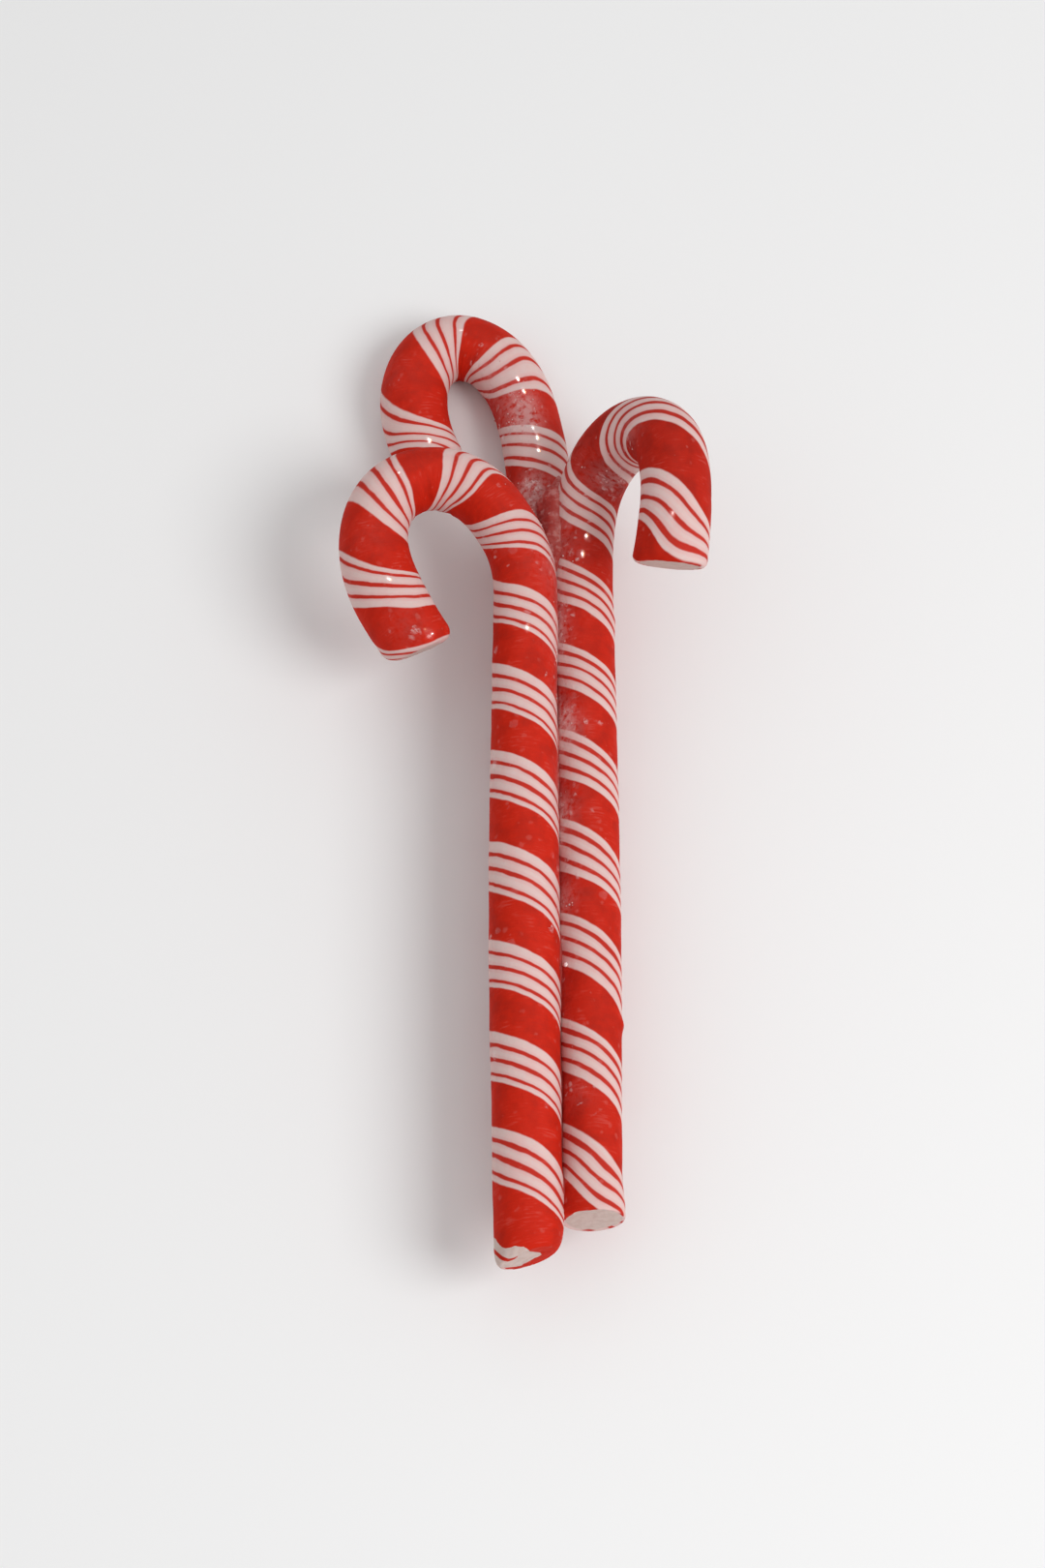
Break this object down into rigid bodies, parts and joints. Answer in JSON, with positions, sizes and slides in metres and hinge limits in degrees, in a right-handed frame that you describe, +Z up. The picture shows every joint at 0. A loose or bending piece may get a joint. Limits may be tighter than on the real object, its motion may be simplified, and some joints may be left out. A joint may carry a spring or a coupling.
{
  "type": "candy cane cluster",
  "caption": "Cluster of red and white striped peppermint candy canes, laid side by side and on each other and set together with sugar glaze, with the hooks fanned out.",
  "frame": {"origin": "centre of the box's footprint, on the table that the cluster lies on", "axes": "+Z up from the table, +Y from the feet of the canes to their hooks, +X to the side that the one right-hand hook bends to"},
  "size_m": [0.0584, 0.172, 0.0356],
  "materials": {
    "peppermint": "pulled sugar, red with spiral groups of four white stripes, soft gloss under a faint frost",
    "glaze": "set sugar glaze, half clear, frosted and lumpy"
  },
  "bodies": {
    "root": {"cane_left": "peppermint", "cane_right": "peppermint", "cane_back": "peppermint", "set_glaze": "glaze"}
  },
  "joints": []
}
